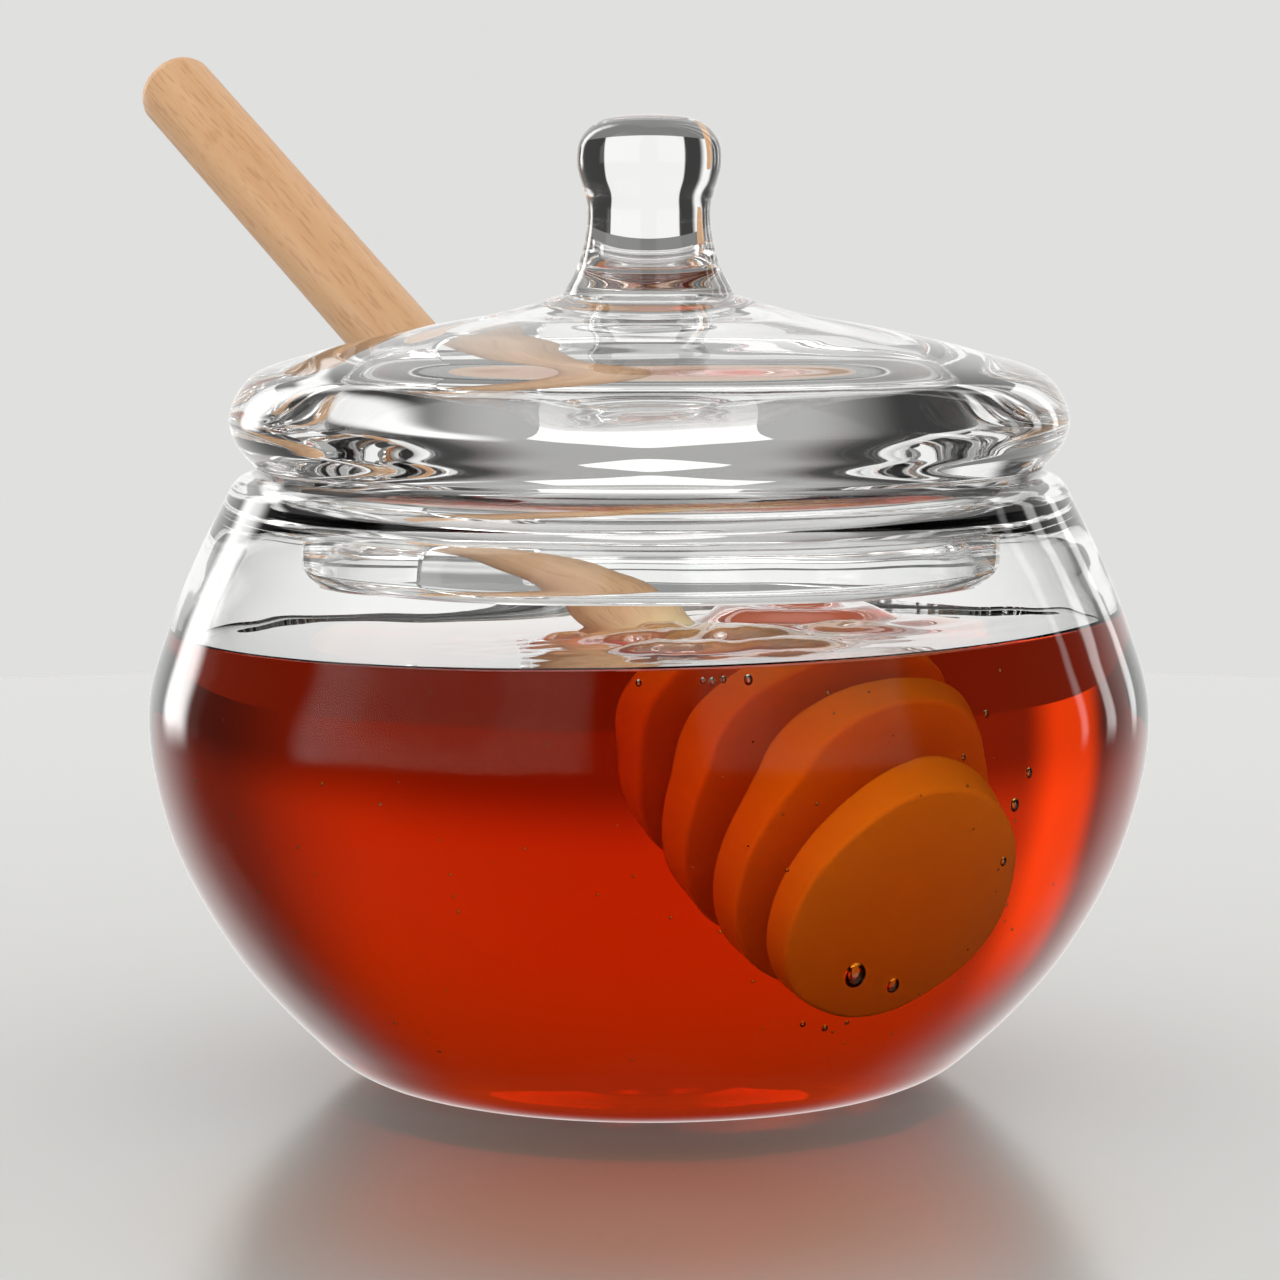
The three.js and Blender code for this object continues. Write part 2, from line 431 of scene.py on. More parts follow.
def make_honey():
    """Closed body: the wetted inside of the jar, and the surface in rings out to the glass."""
    sunk = [INTO_GLASS * max(0.0, 1 - z / HONEY_MIDDLE) for _, z in inside]
    wetted = [(r + INTO_GLASS, z - down) for (r, z), down in zip(inside, sunk)][::-1]
    side = [(r, z) for r, z in wetted if z < HONEY_LEVEL - BELOW_EDGE]
    rings, vertices = [], []
    segments = ROUND_STEPS

    def ring(make):
        rings.append(list(range(len(vertices), len(vertices) + segments)))
        for k in range(segments):
            angle = 2 * math.pi * k / segments
            vertices.append(make(math.cos(angle), math.sin(angle)))

    vertices.append((0.0, 0.0, side[0][1]))
    rings.append([0])
    for radius, height in side[1:]:
        ring(lambda c, s, r=radius, z=height: (r * c, r * s, z))
    start = side[-1][1]
    for k in range(1, CREEP_RINGS + 1):

        def rise(c, s, share=k / CREEP_RINGS):
            top = honey_height(EDGE_SAMPLE * c, EDGE_SAMPLE * s) + CREEP
            z = start + (top - start) * share
            r = radius_at(glass_wall, z) + INTO_GLASS
            return (r * c, r * s, z)

        ring(rise)
    for k in range(1, SURFACE_RINGS):

        def across(c, s, share=1 - k / SURFACE_RINGS):
            z_edge = honey_height(EDGE_SAMPLE * c, EDGE_SAMPLE * s)
            r = (radius_at(glass_wall, z_edge) + INTO_GLASS) * share
            from_wall = (1 - share) * HONEY_REACH
            creep = CREEP * math.exp(-from_wall / CREEP_WIDTH)
            return (r * c, r * s, honey_height(r * c, r * s) + creep)

        ring(across)
    vertices.append((0.0, 0.0, honey_height(0, 0)))
    rings.append([len(vertices) - 1])
    return add_object("honey_body", vertices, skin(rings, segments))


def mark_cloudy(piece):
    """Keeps on each vertex how cloudy the honey is there: fine foam lies in the puddles."""
    cloud = piece.data.attributes.new("cloudy", "FLOAT", "POINT")
    for vertex, value in zip(piece.data.vertices, cloud.data):
        x, y, z = (c / MM for c in vertex.co)
        if z > HONEY_LEVEL - BELOW_EDGE:
            value.value = max(puddle_share(x, y, *puddle) for *puddle, _ in PUDDLES)


honey = make_honey()
mark_cloudy(honey)
print("honey:", len(honey.data.polygons), "faces")

# %% [markdown]
# ## Bubbles
# A few air bubbles hang in the honey close to the glass, and finer ones are scattered like dust.
# They are real balls in one mesh. The large ones are listed one by one, the fine ones placed by a
# seeded random number, so that they are the same each time.

# %% Bubbles
# Each bubble: x and height of its middle, and its half width, in mm
LARGE_BUBBLES = (
    (20.2, 19.8, 1.15),
    (24.1, 18.2, 0.7),
    (37.5, 39.0, 0.42),
    (36.0, 36.0, 0.55),
    (35.0, 30.3, 0.4),
    (15.2, 14.6, 0.3),
    (17.4, 14.0, 0.35),
    (19.6, 14.4, 0.25),
    (-1.0, 49.3, 0.3),
    (5.2, 49.5, 0.28),
    (6.1, 49.4, 0.35),
    (7.2, 49.6, 0.3),
    (9.6, 49.5, 0.45),
    (33.2, 44.9, 0.3),
    (30.8, 41.2, 0.25),
)
FINE_BUBBLES = 90
FINE_SIZES = (0.07, 0.2)
FINE_HEIGHTS = (10, 48)
FINE_TURNS = (-160, -20)
FINE_DEPTHS = (1, 7)
BUBBLE_DEPTH = 0.9
BUBBLE_STRETCH = 1.3
BUBBLE_ROWS = 10
BUBBLE_SIDES = 16
BUBBLE_SEED = 11


def ball(middle, size, stretch):
    """Vertices and faces of a ball, in mm."""
    rows, around = BUBBLE_ROWS, BUBBLE_SIDES
    vertices = [middle - Vector((0, 0, size * stretch))]
    for i in range(1, rows):
        tilt = math.pi * i / rows
        for k in range(around):
            turn = 2 * math.pi * k / around
            flat = size * math.sin(tilt)
            away = Vector((flat * math.cos(turn), flat * math.sin(turn), 0))
            vertices.append(middle + away - Vector((0, 0, size * stretch * math.cos(tilt))))
    vertices.append(middle + Vector((0, 0, size * stretch)))
    faces = []
    top = len(vertices) - 1
    for k in range(around):
        n = (k + 1) % around
        faces.append((0, 1 + n, 1 + k))
        for i in range(rows - 2):
            low, high = 1 + i * around, 1 + (i + 1) * around
            faces.append((low + k, low + n, high + n, high + k))
        last = 1 + (rows - 2) * around
        faces.append((last + k, last + n, top))
    return vertices, faces


def make_bubbles():
    chance = random.Random(BUBBLE_SEED)
    places = []
    for x, height, size in LARGE_BUBBLES:
        reach = radius_at(glass_wall, height) - BUBBLE_DEPTH - size
        middle = Vector((x, -math.sqrt(reach**2 - x**2), height))
        places.append((middle, size, BUBBLE_STRETCH))
    for _ in range(FINE_BUBBLES):
        height = chance.uniform(*FINE_HEIGHTS)
        size = chance.uniform(*FINE_SIZES)
        turn = math.radians(chance.uniform(*FINE_TURNS))
        reach = radius_at(glass_wall, height) - chance.uniform(*FINE_DEPTHS)
        middle = Vector((reach * math.cos(turn), reach * math.sin(turn), height))
        places.append((middle, size, 1.0))
    vertices, faces = [], []
    for middle, size, stretch in places:
        more, rounds = ball(middle, size, stretch)
        faces += [tuple(len(vertices) + i for i in face) for face in rounds]
        vertices += [tuple(v) for v in more]
    return add_object("honey_bubbles", vertices, faces)


bubbles = make_bubbles()
print("bubbles:", len(bubbles.data.polygons), "faces")

# %% [markdown]
# ## Helpers for nodes
# Every look below is a network of nodes. These helpers add a node, feed it with numbers or with
# what other nodes give, and return its result, so that a network reads like a formula.

# %% Helpers for nodes


def feed(tree, socket, value):
    """Sets an input to a number or colour, or links it to the output of another node."""
    if isinstance(value, (int, float, tuple)):
        socket.default_value = value
    else:
        tree.links.new(value, socket)


def set_inputs(node, values):
    for name, value in values.items():
        node.inputs[name].default_value = value


def calculate(tree, operation, *values):
    """One step of arithmetic."""
    node = tree.nodes.new("ShaderNodeMath")
    node.operation = operation
    for socket, value in zip(node.inputs, values):
        feed(tree, socket, value)
    return node.outputs["Value"]


def times(tree, result, *factors):
    for factor in factors:
        result = calculate(tree, "MULTIPLY", result, factor)
    return result


def plus(tree, result, *others):
    for other in others:
        result = calculate(tree, "ADD", result, other)
    return result


def vectors(tree, operation, *values):
    """One step of arithmetic on vectors."""
    node = tree.nodes.new("ShaderNodeVectorMath")
    node.operation = operation
    for socket, value in zip(node.inputs, values):
        feed(tree, socket, value)
    return node.outputs["Vector" if operation == "SUBTRACT" else "Value"]


def soft_step(tree, value, start, end, low, high):
    """Goes smoothly from low at start to high at end."""
    node = tree.nodes.new("ShaderNodeMapRange")
    node.interpolation_type = "SMOOTHSTEP"
    tree.links.new(value, node.inputs["Value"])
    set_inputs(node, {"From Min": start, "From Max": end, "To Min": low, "To Max": high})
    return node.outputs["Result"]


def choose(tree, share, no, yes, kind="FLOAT", blend="MIX"):
    """Mixes two numbers, or two colours, by a share."""
    node = tree.nodes.new("ShaderNodeMix")
    node.data_type = kind
    node.blend_type = blend
    for name, value in (("Factor", share), ("A", no), ("B", yes)):
        feed(tree, node.inputs[name], value)
    return node.outputs["Result"]


def mix_colours(tree, share, no, yes, blend="MIX"):
    return choose(tree, share, no, yes, "RGBA", blend)


def mix_shaders(tree, share, no, yes):
    node = tree.nodes.new("ShaderNodeMixShader")
    tree.links.new(share, node.inputs["Fac"])
    tree.links.new(no, node.inputs[1])
    tree.links.new(yes, node.inputs[2])
    return node.outputs["Shader"]


def add_bump(tree, shader, height, distance, strength):
    bump = tree.nodes.new("ShaderNodeBump")
    set_inputs(bump, {"Strength": strength, "Distance": distance})
    tree.links.new(height, bump.inputs["Height"])
    tree.links.new(bump.outputs["Normal"], shader.inputs["Normal"])


def new_material(name, kind="ShaderNodeBsdfPrincipled"):
    """A material whose surface is one shader."""
    material = bpy.data.materials.new(name)
    material.use_nodes = True
    tree = material.node_tree
    tree.nodes.clear()
    output = tree.nodes.new("ShaderNodeOutputMaterial")
    shader = tree.nodes.new(kind)
    tree.links.new(shader.outputs[0], output.inputs["Surface"])
    return material, tree, shader, output


# %% [markdown]
# ## Glass finish
# Clear glass is a Principled shader with full transmission. What makes it look hand-made is a very
# faint, wide ripple in its faces, so that straight reflections wander a little. Where honey wets
# the glass, hardly any light is mirrored, because both bend light almost alike, so there the face
# only bends light.

# %% Glass material
WHITE = (1, 1, 1, 1)
GLASS_IOR = 1.5
GLASS_COLOUR = (0.996, 0.999, 0.998, 1)
# Ripple: scale, distance in metres and strength
GLASS_RIPPLE = (45.0, 0.0004, 0.12)
JAR_MIRROR = 0.07
LID_MIRROR = 0.4


def ripple(tree, shader, scale, distance, strength):
    """A faint bump from noise, in object space."""
    place = tree.nodes.new("ShaderNodeTexCoord")
    waves = tree.nodes.new("ShaderNodeTexNoise")
    set_inputs(waves, {"Scale": scale, "Detail": 1.0})
    tree.links.new(place.outputs["Object"], waves.inputs["Vector"])
    add_bump(tree, shader, waves.outputs["Fac"], distance, strength)


def wetted_mask(tree, level):
    """1 on faces that look towards the middle of the jar and lie below the honey's level."""
    place = tree.nodes.new("ShaderNodeTexCoord")
    middle = (0, 0, HONEY_MIDDLE * MM)
    from_middle = vectors(tree, "SUBTRACT", place.outputs["Object"], middle)
    facing = vectors(tree, "DOT_PRODUCT", from_middle, place.outputs["Normal"])
    inward = calculate(tree, "LESS_THAN", facing, 0.0)
    upward = (-HONEY_TILT, 0, 1)
    height = vectors(tree, "DOT_PRODUCT", place.outputs["Object"], upward)
    below = calculate(tree, "LESS_THAN", height, level * MM)
    return times(tree, inward, below)


def bend_only(tree, surface, output, mask, ior):
    """Where the mask is 1, the face bends light without mirroring any of it."""
    bend = tree.nodes.new("ShaderNodeBsdfRefraction")
    set_inputs(bend, {"Color": WHITE, "Roughness": 0.0, "IOR": ior})
    mixed = mix_shaders(tree, mask, surface, bend.outputs["BSDF"])
    tree.links.new(mixed, output.inputs["Surface"])


def glass_finish(name, wetted, mirror):
    """Clear glass. The mirror share weakens only what the glass mirrors where seen straight on."""
    material, tree, shader, output = new_material(name)
    clear = {"Base Color": GLASS_COLOUR, "Transmission Weight": 1.0, "Roughness": 0.0}
    set_inputs(shader, clear)
    set_inputs(shader, {"IOR": GLASS_IOR, "Specular Tint": (mirror, mirror, mirror, 1)})
    ripple(tree, shader, *GLASS_RIPPLE)
    if wetted:
        mask = wetted_mask(tree, HONEY_LEVEL + CREEP)
        bend_only(tree, shader.outputs["BSDF"], output, mask, GLASS_IOR)
    return material


jar.data.materials.append(glass_finish("clear_glass", True, JAR_MIRROR))
lid.data.materials.append(glass_finish("lid_clear_glass", False, LID_MIRROR))
print("glass:", jar.data.materials[0].name, "and", lid.data.materials[0].name)

# %% [markdown]
# ## Honey finish
# Honey is clear, and its colour is in its depth: a thin layer is yellow, and a whole jar is deep
# red-brown. So the surface stays colourless, and the body absorbs blue most, green less and red
# hardly at all. A coat makes the top shine, its sides only bend light, and the puddles carry a
# thin golden foam. The bubbles hold air, which bends light the other way, so their IOR is below 1.

# %% Honey material
HONEY_TINT = (0.966, 0.69, 0.05, 1)
HONEY_DENSITY = 130.0
HONEY_IOR = 1.49
HONEY_COAT_IOR = 2.0
HONEY_RIPPLE = (60.0, 0.0003, 0.1)
STEEPEST_TOP = 0.45
FOAM_COLOUR = (0.58, 0.26, 0.05, 1)
FOAM_SHARE = 0.75
FOAM_ROUGHNESS = 0.2
FOAM_COAT_IOR = 1.6


def add_coat(shader, ior):
    set_inputs(shader, {"Coat Weight": 1.0, "Coat IOR": ior, "Coat Roughness": 0.0})


def honey_finish():
    material, tree, shader, output = new_material("amber_honey")
    clear = {"Base Color": WHITE, "Transmission Weight": 1.0, "Roughness": 0.0}
    set_inputs(shader, clear)
    shader.inputs["IOR"].default_value = HONEY_IOR
    add_coat(shader, HONEY_COAT_IOR)
    ripple(tree, shader, *HONEY_RIPPLE)
    foam = tree.nodes.new("ShaderNodeBsdfPrincipled")
    set_inputs(foam, {"Base Color": FOAM_COLOUR, "Roughness": FOAM_ROUGHNESS})
    add_coat(foam, FOAM_COAT_IOR)
    cloudy = tree.nodes.new("ShaderNodeAttribute")
    cloudy.attribute_name = "cloudy"
    share = times(tree, cloudy.outputs["Fac"], FOAM_SHARE)
    top = mix_shaders(tree, share, shader.outputs["BSDF"], foam.outputs["BSDF"])
    place = tree.nodes.new("ShaderNodeTexCoord")
    facing = tree.nodes.new("ShaderNodeSeparateXYZ")
    tree.links.new(place.outputs["Normal"], facing.inputs["Vector"])
    side = calculate(tree, "LESS_THAN", facing.outputs["Z"], STEEPEST_TOP)
    bend_only(tree, top, output, side, HONEY_IOR)
    body = tree.nodes.new("ShaderNodeVolumeAbsorption")
    set_inputs(body, {"Color": HONEY_TINT, "Density": HONEY_DENSITY})
    tree.links.new(body.outputs["Volume"], output.inputs["Volume"])
    return material


def bubble_finish():
    material, _, glass, _ = new_material("air_bubble", "ShaderNodeBsdfGlass")
    set_inputs(glass, {"Color": WHITE, "Roughness": 0.0, "IOR": 1 / HONEY_IOR})
    return material


honey.data.materials.append(honey_finish())
bubbles.data.materials.append(bubble_finish())
print("honey:", honey.data.materials[0].name, "and", bubbles.data.materials[0].name)

# %% [markdown]
# ## Wood finish
# Beech has a warm tan ground with short, fine, darker flecks along the grain. A noise stretched
# along the stick gives the streaks, a finer one the flecks and a wider one the patches. The
# handle has one small knot in front. The part in the honey is painted yellower, for the honey it is
# soaked with, and much paler, as painted light for the light that reaches it through the honey.

# %% Wood material
# Each grain: scale across and along the stick, and detail
STREAKS = (420.0, 22.0, 3.0)
FLECKS = (2600.0, 260.0, 2.0)
PATCHES = (60.0, 18.0, 1.0)
STREAK_RANGE = (0.30, 0.62)
STREAK_COLOURS = ((0.60, 0.36, 0.19, 1), (0.665, 0.435, 0.255, 1))
FLECK_RANGE = (0.34, 0.46)
FLECK_COLOURS = ((0.62, 0.5, 0.4, 1), WHITE)
FLECK_SHARE = 0.4
PATCH_COLOUR = (0.92, 0.74, 0.55, 1)
KNOT_COLOUR = (0.50, 0.24, 0.09, 1)
KNOT_ALONG = 134.0
KNOT_FADE = (0.3 * MM, 1.6 * MM, 0.45, 0.0)
# Part in the honey: yellow tint of soaked honey, and painted light that makes it much paler
SOAKED_AND_PAINTED_LIGHT_COLOUR = (0.97, 0.86, 0.50, 1)
SOAKED_AND_PAINTED_LIGHT_FADE = (30 * MM, 42 * MM, 0.85, 0.0)
WOOD_ROUGHNESS = 0.5
# Bump of the flecks: distance in metres and strength
FLECK_BUMP = (0.0002, 0.25)


def grain(tree, place, across, along, detail):
    """Noise stretched along the stick."""
    mapping = tree.nodes.new("ShaderNodeMapping")
    mapping.inputs["Scale"].default_value = (across, across, along)
    noise_node = tree.nodes.new("ShaderNodeTexNoise")
    set_inputs(noise_node, {"Scale": 1.0, "Detail": detail})
    tree.links.new(place.outputs["Object"], mapping.inputs["Vector"])
    tree.links.new(mapping.outputs["Vector"], noise_node.inputs["Vector"])
    return noise_node.outputs["Fac"]


def colour_ramp(tree, value, positions, colours):
    node = tree.nodes.new("ShaderNodeValToRGB")
    for k in range(2):
        node.color_ramp.elements[k].position = positions[k]
        node.color_ramp.elements[k].color = colours[k]
    tree.links.new(value, node.inputs["Fac"])
    return node.outputs["Color"]


def place_of_knot():
    """On the front of the handle, in the dipper's own space, in metres."""
    to_front = dipper.rotation_quaternion.inverted() @ Vector((0.0, -1.0, 0.0))
    to_front.z = 0.0
    spot = to_front.normalized() * HANDLE_RADIUS * MM
    spot.z = KNOT_ALONG * MM
    return tuple(spot)


def wood_finish():
    material, tree, shader, _ = new_material("turned_beech")
    place = tree.nodes.new("ShaderNodeTexCoord")
    streaks, flecks, patches = (grain(tree, place, *g) for g in (STREAKS, FLECKS, PATCHES))
    colour = colour_ramp(tree, streaks, STREAK_RANGE, STREAK_COLOURS)
    fleck_colour = colour_ramp(tree, flecks, FLECK_RANGE, FLECK_COLOURS)
    colour = mix_colours(tree, FLECK_SHARE, colour, fleck_colour, "MULTIPLY")
    colour = mix_colours(tree, patches, colour, PATCH_COLOUR, "MULTIPLY")
    from_knot = vectors(tree, "DISTANCE", place.outputs["Object"], place_of_knot())
    colour = mix_colours(tree, soft_step(tree, from_knot, *KNOT_FADE), colour, KNOT_COLOUR)
    along = tree.nodes.new("ShaderNodeSeparateXYZ")
    tree.links.new(place.outputs["Object"], along.inputs["Vector"])
    # Painted light and soaked tint: the wood in the honey turns pale yellow
    soaked_and_painted_light = soft_step(tree, along.outputs["Z"], *SOAKED_AND_PAINTED_LIGHT_FADE)
    colour = mix_colours(tree, soaked_and_painted_light, colour, SOAKED_AND_PAINTED_LIGHT_COLOUR)
    tree.links.new(colour, shader.inputs["Base Color"])
    shader.inputs["Roughness"].default_value = WOOD_ROUGHNESS
    add_bump(tree, shader, flecks, *FLECK_BUMP)
    return material


dipper.data.materials.append(wood_finish())
print("wood:", dipper.data.materials[0].name)

# %% [markdown]
# ## Join the pieces to the frame

# %% Ride and replace
for piece, node, slot in (
    (jar, "jar", "glass"),
    (lid, "lid", "glass"),
    (honey, "honey", "honey"),
    (dipper, "dipper", "wood"),
):
    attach(piece, "root")
    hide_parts(node)
    print(piece.name, "stands for", node)
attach(bubbles, "root")
print(bubbles.name, "are added")

# %% [markdown]
# ## Studio
# Glass has no colour of its own, so the studio is what one sees in it. The world holds all of it
# and answers each kind of ray in its own way. The camera sees a plain pale ground. Clear glass
# shows a bright board in a dark room, which draws its edges. Honey shows the same ground blurred.
# The faces of the glass mirror a bright back, a window and tall strips, which give the white
# lines. Directions are in degrees: turned from the back to the right, or risen from the horizon.

# %% Surround
SURROUND = (0.745, 0.745, 0.735, 1)
DIFFUSE_LEVEL = 1.6
DEGREES = 180 / math.pi
# How many faces light has passed: up to two is the solid knob, five to seven is the honey
FEW_FACES = 2.5
HONEY_FACES = (4.5, 7.5)
# Each fade: where it starts and ends, and its value before and after
# Seen through clear glass
DARK_IN_KNOB = 0.06
DARK = 0.2
BOARD = 1.22
BOARD_LEFT_FADE = (-21, -19.5, 0.0, 1.0)
BOARD_RIGHT_FADE = (26.5, 28, 1.0, 0.0)
BOARD_TOP_FADE = (24, 26, 1.0, 0.0)
AROUND_FADE = (70, 100, 0.0, 0.4)
AROUND_IN_KNOB = 0.3
ABOVE_FADE = (35, 60, 0.0, 0.5)
# Seen through the honey
HONEY_LEFT_FADE = (-52, -26, 0.58, 0.0)
HONEY_RIGHT_FADE = (20, 44, 0.0, 0.70)
HONEY_HIGH_FADE = (8, 38, 1.0, 0.66)
HONEY_LOW_FADE = (0, 6.5, 0.4, 1.0)
GLOW_LOW_FADE = (-12, -3, 0.0, 1.0)
GLOW_HIGH_FADE = (16, 34, 1.0, 0.0)
# The window on the left, and its strength where it is mirrored
WINDOW_TURN = -42
WINDOW_FADE = (3, 10, 1.3, 0.0)
WINDOW_TOP_FADE = (45, 60, 1.0, 0.0)
WINDOW_MIRRORED = 6.0
# Windows in front and strips on the right: their turn, half width and strength
FRONT_WINDOWS = ((-130, 35, 5.0), (142, 24, 3.6))
FRONT_EDGE = 3
FRONT_TOP_FADE = (50, 70, 1.0, 0.0)
FRONT_MIRRORED = 0.7
RIGHT_STRIPS = ((35, 2.0, 3.0), (50, 2.5, 4.0), (64, 1.5, 3.0))
STRIP_EDGE = 1
# Mirrored by the glass
BACK_FADE = (25, 60, 1.35, 0.1)
BELOW_FADE = (-55, -20, 0.05, 1.0)
OVER_TABLE_FADE = (-9, -1, 0.0, 1.0)


def upright(tree, turn, rows, edge):
    """A soft-edged upright band of light for each turn, half width and strength."""
    bands = []
    for middle, half_width, glow in rows:
        off = calculate(tree, "ABSOLUTE", plus(tree, turn, -middle))
        bands.append(soft_step(tree, off, half_width - edge, half_width + edge, glow, 0.0))
    return bands


def seen_through_glass(tree, turn, aside, rise, several):
    """A board with crisp edges in a dark room, and some light from beside the camera."""
    board = times(
        tree,
        soft_step(tree, turn, *BOARD_RIGHT_FADE),
        soft_step(tree, turn, *BOARD_LEFT_FADE),
        soft_step(tree, rise, *BOARD_TOP_FADE),
    )
    dark = choose(tree, several, DARK_IN_KNOB, DARK)
    around = soft_step(tree, aside, *AROUND_FADE)
    around = times(tree, around, choose(tree, several, AROUND_IN_KNOB, 1.0))
    board = times(tree, board, calculate(tree, "SUBTRACT", BOARD, dark))
    return plus(tree, board, dark, around)


def seen_through_honey(tree, turn, rise, window):
    """The pale ground blurred, dimmer at its sides, high up and at the horizon."""
    right = soft_step(tree, turn, *HONEY_RIGHT_FADE)
    left = soft_step(tree, turn, *HONEY_LEFT_FADE)
    ground = calculate(tree, "SUBTRACT", 1.0, right)
    ground = calculate(tree, "SUBTRACT", ground, left)
    ground = times(tree, ground, soft_step(tree, rise, *HONEY_HIGH_FADE))
    ground = times(tree, ground, soft_step(tree, rise, *HONEY_LOW_FADE))
    glow = times(tree, window, soft_step(tree, rise, *GLOW_LOW_FADE))
    glow = times(tree, glow, soft_step(tree, rise, *GLOW_HIGH_FADE))
    return plus(tree, ground, glow)


def mirrored_light(tree, turn, aside, rise, window, front):
    """A bright back, the window and the strips, and the windows in front, above the table."""
    ground = soft_step(tree, aside, *BACK_FADE)
    ground = times(tree, ground, soft_step(tree, rise, *BELOW_FADE))
    over_table = soft_step(tree, rise, *OVER_TABLE_FADE)
    strips = upright(tree, turn, RIGHT_STRIPS, STRIP_EDGE)
    strips = plus(tree, times(tree, window, WINDOW_MIRRORED), *strips)
    strips = times(tree, strips, over_table)
    front = times(tree, front, FRONT_MIRRORED, over_table)
    return plus(tree, ground, strips, front)


def make_surround():
    """The light from every direction, for each kind of ray."""
    world = bpy.data.worlds.new("pale_surround")
    world.use_nodes = True
    tree = world.node_tree
    background = tree.nodes["Background"]
    background.inputs["Color"].default_value = SURROUND
    place = tree.nodes.new("ShaderNodeTexCoord")
    split = tree.nodes.new("ShaderNodeSeparateXYZ")
    tree.links.new(place.outputs["Generated"], split.inputs["Vector"])
    path = tree.nodes.new("ShaderNodeLightPath")
    depth = path.outputs["Transmission Depth"]
    several = calculate(tree, "GREATER_THAN", depth, FEW_FACES)

    turn = calculate(tree, "ARCTAN2", split.outputs["X"], split.outputs["Y"])
    turn = times(tree, turn, DEGREES)
    aside = calculate(tree, "ABSOLUTE", turn)
    rise = times(tree, calculate(tree, "ARCSINE", split.outputs["Z"]), DEGREES)
    window = calculate(tree, "ABSOLUTE", plus(tree, turn, -WINDOW_TURN))
    window = soft_step(tree, window, *WINDOW_FADE)
    window = times(tree, window, soft_step(tree, rise, *WINDOW_TOP_FADE))
    front = plus(tree, *upright(tree, turn, FRONT_WINDOWS, FRONT_EDGE))
    front = times(tree, front, soft_step(tree, rise, *FRONT_TOP_FADE))

    clear = plus(tree, seen_through_glass(tree, turn, aside, rise, several), window)
    in_honey = calculate(tree, "GREATER_THAN", depth, HONEY_FACES[0])
    in_honey = times(tree, in_honey, calculate(tree, "LESS_THAN", depth, HONEY_FACES[1]))
    through = choose(tree, in_honey, clear, seen_through_honey(tree, turn, rise, window))
    front_through = times(tree, front, several)
    through = plus(tree, through, front_through, soft_step(tree, rise, *ABOVE_FADE))
    mirrored = mirrored_light(tree, turn, aside, rise, window, front)
    glossy = times(tree, path.outputs["Is Reflection Ray"], path.outputs["Is Glossy Ray"])
    strength = choose(tree, glossy, through, mirrored)
    strength = choose(tree, path.outputs["Is Diffuse Ray"], strength, DIFFUSE_LEVEL)
    strength = choose(tree, path.outputs["Is Camera Ray"], strength, 1.0)
    tree.links.new(strength, background.inputs["Strength"])
    bpy.context.scene.world = world


make_surround()

# %% [markdown]
# ## Table
# The table is a pale round top with a soft shine. In front of the jar a warm orange glow is painted
# into its colour, where light that has passed through the honey would fall. A dim ring of painted
# shade lies on it that only glass and honey show, as the far table in shade does: it gives the dark
# band below the honey's surface.

# %% Table
TABLE_RADIUS = 420.0
TABLE_SIDES = 128
TABLE_COLOUR = (0.50, 0.495, 0.482, 1)
TABLE_ROUGHNESS = 0.18
TABLE_IOR = 1.8
# Painted glow: warm orange in the table's colour in front of the jar, for light that passed through
# the honey
PAINTED_GLOW_COLOUR = (0.44, 0.20, 0.11, 1)
# Middle of the painted glow, and the fades of the painted glow and of the ring of painted shade, in
# metres
PAINTED_GLOW_MIDDLE = (0.0, -0.065, 0.0)
PAINTED_GLOW_FADE = (0.01, 0.058, 0.75, 0.0)
# Ring of painted shade, shown only through glass and honey, for the far table in shade
RING_FADE = (0.11, 0.19, 0.6, 0.30)
RING_COLOUR = (0.72, 0.72, 0.70, 1)
RING_RADII = (100.0, 419.0)
RING_SIDES = 96
RING_HEIGHT = 0.4


def circle(radius, count, height):
    """Points around the origin, in mm."""
    angles = [2 * math.pi * k / count for k in range(count)]
    return [(radius * math.cos(a), radius * math.sin(a), height) for a in angles]


def make_table():
    material, tree, shader, _ = new_material("pale_table")
    place = tree.nodes.new("ShaderNodeTexCoord")
    # Painted glow: the table's colour turns warm orange near the front of the jar
    away = vectors(tree, "DISTANCE", place.outputs["Object"], PAINTED_GLOW_MIDDLE)
    painted_glow = soft_step(tree, away, *PAINTED_GLOW_FADE)
    colour = mix_colours(tree, painted_glow, TABLE_COLOUR, PAINTED_GLOW_COLOUR)
    tree.links.new(colour, shader.inputs["Base Color"])
    set_inputs(shader, {"Roughness": TABLE_ROUGHNESS, "IOR": TABLE_IOR})
    top = circle(TABLE_RADIUS, TABLE_SIDES, 0.0)
    table = add_object("table_top", top, [tuple(range(TABLE_SIDES))])
    table.data.materials.append(material)
    table.visible_glossy = False


# Painted shade: a dim glowing ring, seen only through glass and honey, stands in for the far table
# in shade
def make_painted_shade_ring():
    material, tree, glow, _ = new_material("painted_shade_ring", "ShaderNodeEmission")
    glow.inputs["Color"].default_value = RING_COLOUR
    place = tree.nodes.new("ShaderNodeTexCoord")
    away = vectors(tree, "LENGTH", place.outputs["Object"])
    tree.links.new(soft_step(tree, away, *RING_FADE), glow.inputs["Strength"])
    count = RING_SIDES
    spots = [spot for radius in RING_RADII for spot in circle(radius, count, RING_HEIGHT)]
    faces = [(k, count + k, count + (k + 1) % count, (k + 1) % count) for k in range(count)]
    ring = add_object("painted_shade_ring", spots, faces)
    ring.data.materials.append(material)
    ring.visible_camera = False
    ring.visible_diffuse = False
    ring.visible_glossy = False
    ring.visible_shadow = False


make_table()
make_painted_shade_ring()

# %% [markdown]
# ## Soft lights
# Three large, faint panels above and beside the jar light the wood and the table.

# %% Soft lights
PANEL_AIM = Vector((0, 0, 50))
FILL_COLOUR = (1.0, 0.99, 0.97, 1)
FILL_STRENGTH = 1.1


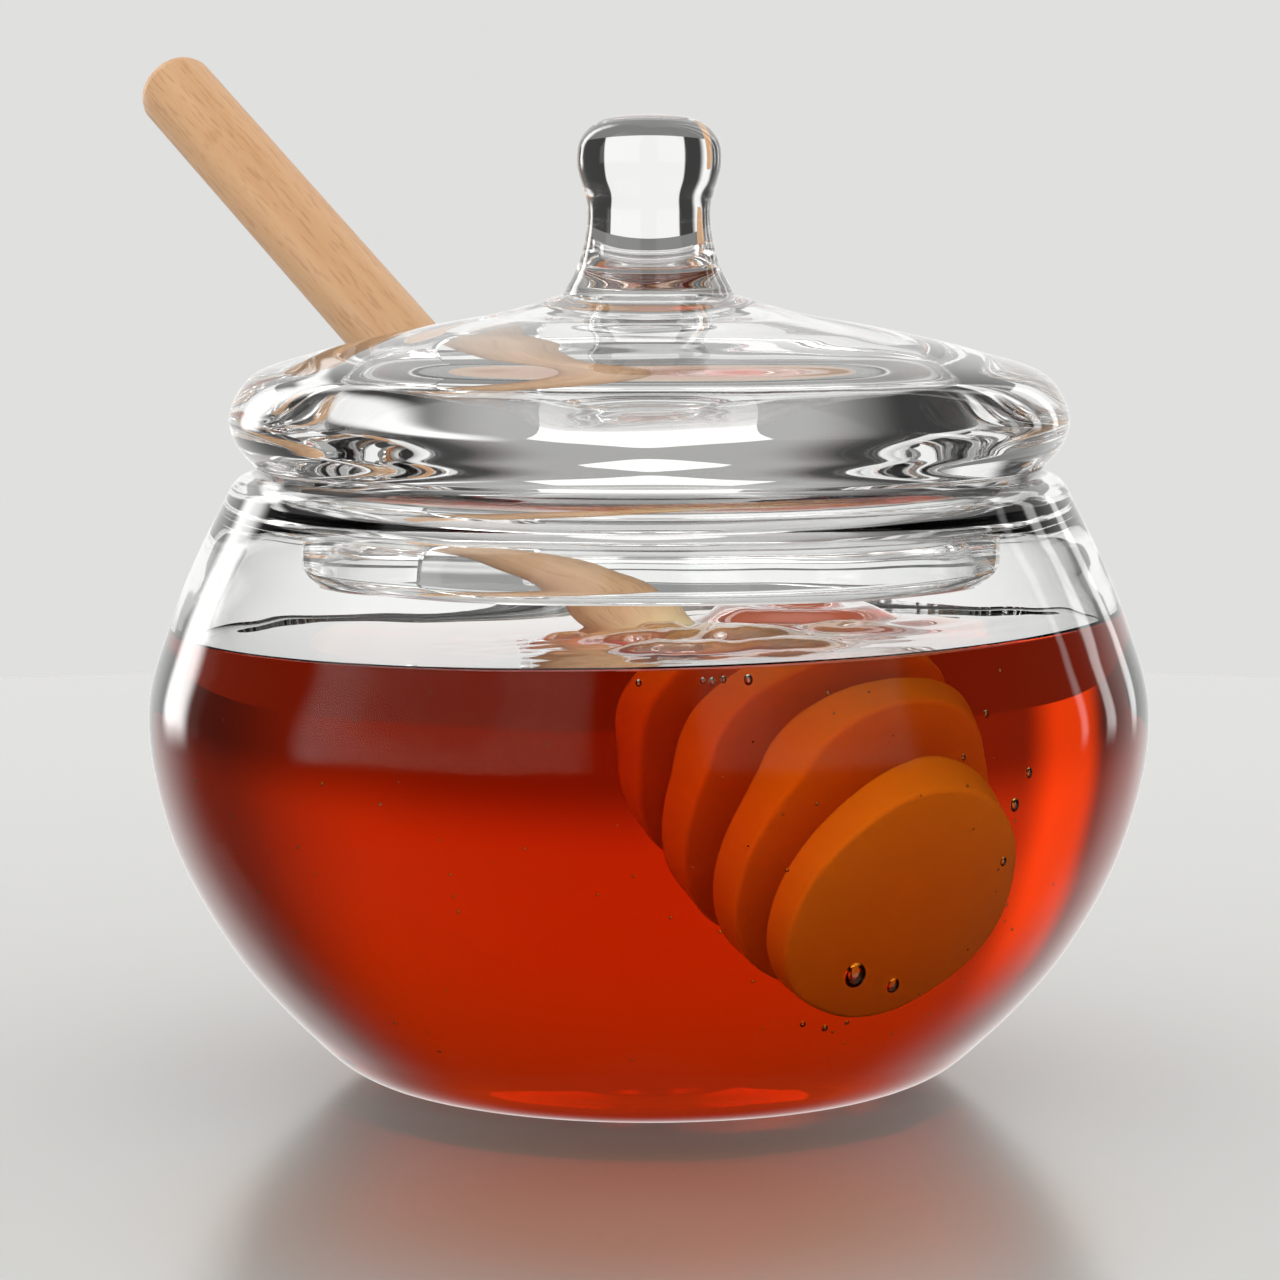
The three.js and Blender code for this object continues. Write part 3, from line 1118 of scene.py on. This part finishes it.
def panel(name, centre, size, material):
    """A flat light that faces the middle of the jar. Neither camera nor glass shows it."""
    half_width, half_height = size[0] / 2, size[1] / 2
    corners = [(-half_width, -half_height, 0), (half_width, -half_height, 0)]
    corners += [(half_width, half_height, 0), (-half_width, half_height, 0)]
    card = add_object(name, corners, [(0, 1, 2, 3)])
    toward = PANEL_AIM - Vector(centre)
    card.rotation_mode = "QUATERNION"
    card.rotation_quaternion = toward.to_track_quat("Z", "Y")
    card.location = Vector(centre) * MM
    card.data.materials.append(material)
    card.visible_camera = False
    card.visible_glossy = False


fill, _, fill_glow, _ = new_material("fill_light", "ShaderNodeEmission")
set_inputs(fill_glow, {"Color": FILL_COLOUR, "Strength": FILL_STRENGTH})
panel("light_top", (0, 100, 1100), (700, 500), fill)
panel("light_left", (-650, -450, 420), (500, 500), fill)
panel("light_right", (600, -600, 400), (400, 500), fill)

# %% [markdown]
# ## Camera
# The jar was photographed from close by and a little above its lid's rim. The far side of the
# honey and the curve of the foot give the height, and a lens of about 112 mm the width.

# %% Camera
PICTURE = 1280
AIM = Vector((0.0, 0.0, 48.4))
AIM_PIXEL = (649.0, 644.0)
CAMERA_DISTANCE = 446.0
CAMERA_PITCH = math.radians(5.92)
PIXELS_PER_MM = 8.955
SENSOR = 36.0


def make_camera():
    data = bpy.data.cameras.new("camera")
    data.sensor_width = SENSOR
    focal_pixels = CAMERA_DISTANCE * PIXELS_PER_MM
    data.lens = SENSOR * focal_pixels / PICTURE
    data.clip_start = 0.01
    camera = bpy.data.objects.new("camera", data)
    bpy.context.scene.collection.objects.link(camera)
    back = Vector((0, -math.cos(CAMERA_PITCH), math.sin(CAMERA_PITCH)))
    camera.location = (AIM + CAMERA_DISTANCE * back) * MM
    yaw = (AIM_PIXEL[0] - PICTURE / 2) / focal_pixels
    pitch = CAMERA_PITCH - (AIM_PIXEL[1] - PICTURE / 2) / focal_pixels
    camera.rotation_euler = (math.radians(90) - pitch, 0, yaw)
    bpy.context.scene.camera = camera
    print("lens:", round(data.lens, 1), "mm")


make_camera()

# %% Light paths and colour
settings = bpy.context.scene.cycles
settings.max_bounces = 36
settings.transmission_bounces = 36
settings.transparent_max_bounces = 16
settings.diffuse_bounces = 3
settings.glossy_bounces = 24
settings.sample_clamp_indirect = 8.0
bpy.context.scene.view_settings.view_transform = "Standard"
